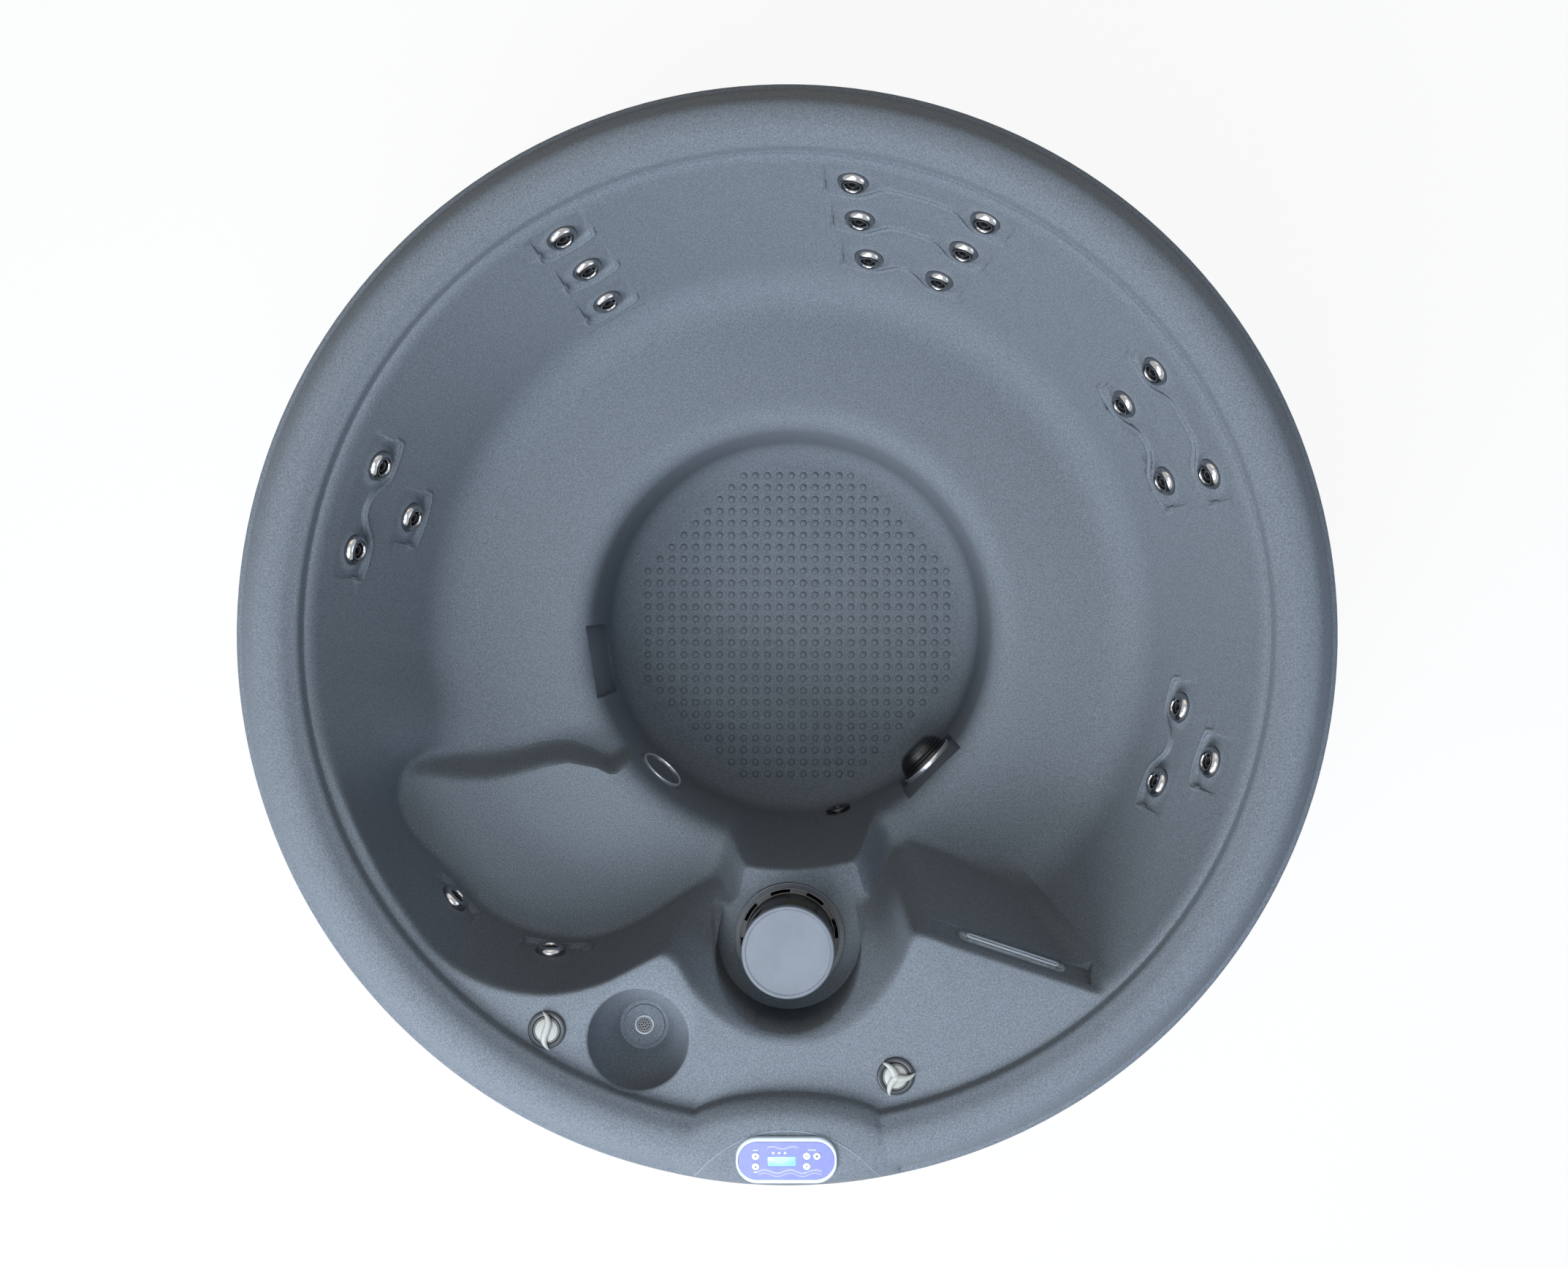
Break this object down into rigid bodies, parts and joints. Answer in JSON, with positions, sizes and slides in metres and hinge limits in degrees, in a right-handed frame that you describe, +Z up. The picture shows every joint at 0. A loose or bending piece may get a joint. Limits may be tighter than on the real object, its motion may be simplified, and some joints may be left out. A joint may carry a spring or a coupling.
{
  "type": "hot tub",
  "caption": "Round free-standing hot tub with a moulded seat shell, jets, filter bay, waterfall slot, control panel and a cabinet that holds its pump and pipework.",
  "frame": {"origin": "centre of the base pan's underside, on the floor", "axes": "+Z up; the control panel and the access door face -Y; +X is to the right for someone who faces the panel from inside the tub with +Y behind them"},
  "size_m": [1.9786, 1.9795, 0.9045],
  "materials": {
    "granite_plastic": "matt speckled grey moulded plastic",
    "chrome": "polished chrome plate",
    "black_plastic": "satin black plastic",
    "pale_plastic": "satin beige-grey plastic",
    "pipe_plastic": "plain off-white pipe and filter plastic",
    "steel": "plain stainless steel",
    "timber": "plain sawn timber",
    "lid_grey": "satin blue-grey plastic",
    "clear_plastic": "clear plastic",
    "motor_grey": "dark painted casting",
    "panel_white": "glossy pale blue-white plastic",
    "panel_violet": "printed violet-blue film",
    "display": "glossy pale cyan window",
    "button_white": "satin white plastic",
    "foam": "dense foam"
  },
  "bodies": {
    "tub": {"tub_shell": "granite_plastic", "skirt_front": "granite_plastic", "skirt_left": "granite_plastic", "skirt_right": "granite_plastic", "skirt_back": "granite_plastic", "base_pan": "black_plastic", "cabinet_frame": "timber", "footwell_pad": "foam", "pump_motor": "motor_grey", "pump_wet_end": "black_plastic", "heater_tube": "steel", "control_box": "black_plastic", "suction_pipe": "pipe_plastic", "jet_plumbing": "pipe_plastic", "valve_left": "black_plastic", "valve_right": "black_plastic", "filter_housing": "black_plastic", "bucket_drain": "black_plastic", "waterfall_spout": "clear_plastic", "suction_cover": "black_plastic", "footwell_light": "chrome", "floor_drain": "black_plastic", "panel_bezel": "panel_white", "panel_overlay": "panel_violet", "panel_display": "display"},
    "access_door": {"access_door": "granite_plastic"},
    "filter_cartridge": {"filter_cartridge": "pipe_plastic"},
    "filter_weir": {"filter_weir": "black_plastic"},
    "filter_lid": {"filter_lid": "lid_grey"},
    "knob_left": {"knob_left": "pale_plastic"},
    "knob_right": {"knob_right": "pale_plastic"},
    "panel_button_1": {"panel_button_1": "button_white"},
    "panel_button_2": {"panel_button_2": "button_white"},
    "panel_button_3": {"panel_button_3": "button_white"},
    "panel_button_4": {"panel_button_4": "button_white"},
    "panel_button_5": {"panel_button_5": "button_white"},
    "jet_01": {"jet_01": "chrome"},
    "jet_02": {"jet_02": "chrome"},
    "jet_03": {"jet_03": "chrome"},
    "jet_04": {"jet_04": "chrome"},
    "jet_05": {"jet_05": "chrome"},
    "jet_06": {"jet_06": "chrome"},
    "jet_07": {"jet_07": "chrome"},
    "jet_08": {"jet_08": "chrome"},
    "jet_09": {"jet_09": "chrome"},
    "jet_10": {"jet_10": "chrome"},
    "jet_11": {"jet_11": "chrome"},
    "jet_12": {"jet_12": "chrome"},
    "jet_13": {"jet_13": "chrome"},
    "jet_14": {"jet_14": "chrome"},
    "jet_15": {"jet_15": "chrome"},
    "jet_16": {"jet_16": "chrome"},
    "jet_17": {"jet_17": "chrome"},
    "jet_18": {"jet_18": "chrome"},
    "jet_19": {"jet_19": "chrome"},
    "jet_20": {"jet_20": "chrome"},
    "jet_21": {"jet_21": "chrome"}
  },
  "joints": [
    {"name": "access_door_slide", "type": "slide", "parent": "tub", "child": "access_door", "axis": [0, -1, 0], "range_m": [0, 0.25]},
    {"name": "filter_cartridge_lift", "type": "slide", "parent": "tub", "child": "filter_cartridge", "axis": [0, 0, 1], "range_m": [0, 0.5]},
    {"name": "filter_weir_float", "type": "slide", "parent": "filter_cartridge", "child": "filter_weir", "axis": [0, 0, 1], "range_m": [-0.04, 0.03]},
    {"name": "filter_lid_lift", "type": "slide", "parent": "filter_weir", "child": "filter_lid", "axis": [0, 0, 1], "range_m": [0, 0.05]},
    {"name": "knob_left_turn", "type": "hinge", "parent": "tub", "child": "knob_left", "pos_m": [-0.43155, -0.70977, 0.8403], "axis": [0, 0, 1], "range_deg": [-90, 90]},
    {"name": "knob_right_turn", "type": "hinge", "parent": "tub", "child": "knob_right", "pos_m": [0.1948, -0.79309, 0.8403], "axis": [0, 0, 1], "range_deg": [-90, 90]},
    {"name": "panel_button_1_press", "type": "slide", "parent": "tub", "child": "panel_button_1", "axis": [0, 0.1045, -0.9945], "range_m": [0, 0.001], "stiffness_N_per_m": 600, "springref_m": -0.0005},
    {"name": "panel_button_2_press", "type": "slide", "parent": "tub", "child": "panel_button_2", "axis": [0, 0.1045, -0.9945], "range_m": [0, 0.001], "stiffness_N_per_m": 600, "springref_m": -0.0005},
    {"name": "panel_button_3_press", "type": "slide", "parent": "tub", "child": "panel_button_3", "axis": [0, 0.1045, -0.9945], "range_m": [0, 0.001], "stiffness_N_per_m": 600, "springref_m": -0.0005},
    {"name": "panel_button_4_press", "type": "slide", "parent": "tub", "child": "panel_button_4", "axis": [0, 0.1045, -0.9945], "range_m": [0, 0.001], "stiffness_N_per_m": 600, "springref_m": -0.0005},
    {"name": "panel_button_5_press", "type": "slide", "parent": "tub", "child": "panel_button_5", "axis": [0, 0.1045, -0.9945], "range_m": [0, 0.001], "stiffness_N_per_m": 600, "springref_m": -0.0005},
    {"name": "jet_01_turn", "type": "hinge", "parent": "tub", "child": "jet_01", "pos_m": [-0.41307, 0.72418, 0.7832], "axis": [0.5147, -0.7737, 0.3695], "range_deg": [0, 90]},
    {"name": "jet_02_turn", "type": "hinge", "parent": "tub", "child": "jet_02", "pos_m": [-0.38265, 0.68749, 0.664], "axis": [0.5147, -0.7737, 0.3695], "range_deg": [0, 90]},
    {"name": "jet_03_turn", "type": "hinge", "parent": "tub", "child": "jet_03", "pos_m": [-0.35922, 0.64538, 0.5432], "axis": [0.5147, -0.7737, 0.3695], "range_deg": [0, 90]},
    {"name": "jet_04_turn", "type": "hinge", "parent": "tub", "child": "jet_04", "pos_m": [0.11882, 0.82452, 0.782], "axis": [-0.1923, -0.9091, 0.3695], "range_deg": [0, 90]},
    {"name": "jet_05_turn", "type": "hinge", "parent": "tub", "child": "jet_05", "pos_m": [0.36031, 0.75202, 0.782], "axis": [-0.3339, -0.8672, 0.3695], "range_deg": [0, 90]},
    {"name": "jet_06_turn", "type": "hinge", "parent": "tub", "child": "jet_06", "pos_m": [0.13301, 0.77811, 0.6752], "axis": [-0.1923, -0.9091, 0.3695], "range_deg": [0, 90]},
    {"name": "jet_07_turn", "type": "hinge", "parent": "tub", "child": "jet_07", "pos_m": [0.32899, 0.71857, 0.6752], "axis": [-0.3339, -0.8672, 0.3695], "range_deg": [0, 90]},
    {"name": "jet_08_turn", "type": "hinge", "parent": "tub", "child": "jet_08", "pos_m": [0.15304, 0.72624, 0.558], "axis": [-0.1923, -0.9091, 0.3695], "range_deg": [0, 90]},
    {"name": "jet_09_turn", "type": "hinge", "parent": "tub", "child": "jet_09", "pos_m": [0.29016, 0.68358, 0.558], "axis": [-0.3339, -0.8672, 0.3695], "range_deg": [0, 90]},
    {"name": "jet_10_turn", "type": "hinge", "parent": "tub", "child": "jet_10", "pos_m": [0.67237, 0.48137, 0.768], "axis": [-0.7839, -0.499, 0.3695], "range_deg": [0, 90]},
    {"name": "jet_11_turn", "type": "hinge", "parent": "tub", "child": "jet_11", "pos_m": [0.77323, 0.29218, 0.768], "axis": [-0.853, -0.3685, 0.3695], "range_deg": [0, 90]},
    {"name": "jet_12_turn", "type": "hinge", "parent": "tub", "child": "jet_12", "pos_m": [0.63775, 0.43505, 0.632], "axis": [-0.7839, -0.499, 0.3695], "range_deg": [0, 90]},
    {"name": "jet_13_turn", "type": "hinge", "parent": "tub", "child": "jet_13", "pos_m": [0.71617, 0.2879, 0.632], "axis": [-0.853, -0.3685, 0.3695], "range_deg": [0, 90]},
    {"name": "jet_14_turn", "type": "hinge", "parent": "tub", "child": "jet_14", "pos_m": [0.74935, -0.14566, 0.61], "axis": [-0.9051, 0.2106, 0.3695], "range_deg": [0, 90]},
    {"name": "jet_15_turn", "type": "hinge", "parent": "tub", "child": "jet_15", "pos_m": [0.70581, -0.28948, 0.61], "axis": [-0.8603, 0.3513, 0.3695], "range_deg": [0, 90]},
    {"name": "jet_16_turn", "type": "hinge", "parent": "tub", "child": "jet_16", "pos_m": [0.78078, -0.23871, 0.74], "axis": [-0.9051, 0.2106, 0.3695], "range_deg": [0, 90]},
    {"name": "jet_17_turn", "type": "hinge", "parent": "tub", "child": "jet_17", "pos_m": [-0.75504, 0.30966, 0.742], "axis": [0.8737, -0.3164, 0.3695], "range_deg": [0, 90]},
    {"name": "jet_18_turn", "type": "hinge", "parent": "tub", "child": "jet_18", "pos_m": [-0.80065, 0.15418, 0.742], "axis": [0.9128, -0.1739, 0.3695], "range_deg": [0, 90]},
    {"name": "jet_19_turn", "type": "hinge", "parent": "tub", "child": "jet_19", "pos_m": [-0.72833, 0.2199, 0.602], "axis": [0.8737, -0.3164, 0.3695], "range_deg": [0, 90]},
    {"name": "jet_20_turn", "type": "hinge", "parent": "tub", "child": "jet_20", "pos_m": [-0.64202, -0.51068, 0.62145], "axis": [0.7243, 0.6758, 0.137], "range_deg": [0, 90]},
    {"name": "jet_21_turn", "type": "hinge", "parent": "tub", "child": "jet_21", "pos_m": [-0.45806, -0.61007, 0.62145], "axis": [0.0427, 0.9908, 0.1283], "range_deg": [0, 90]}
  ]
}
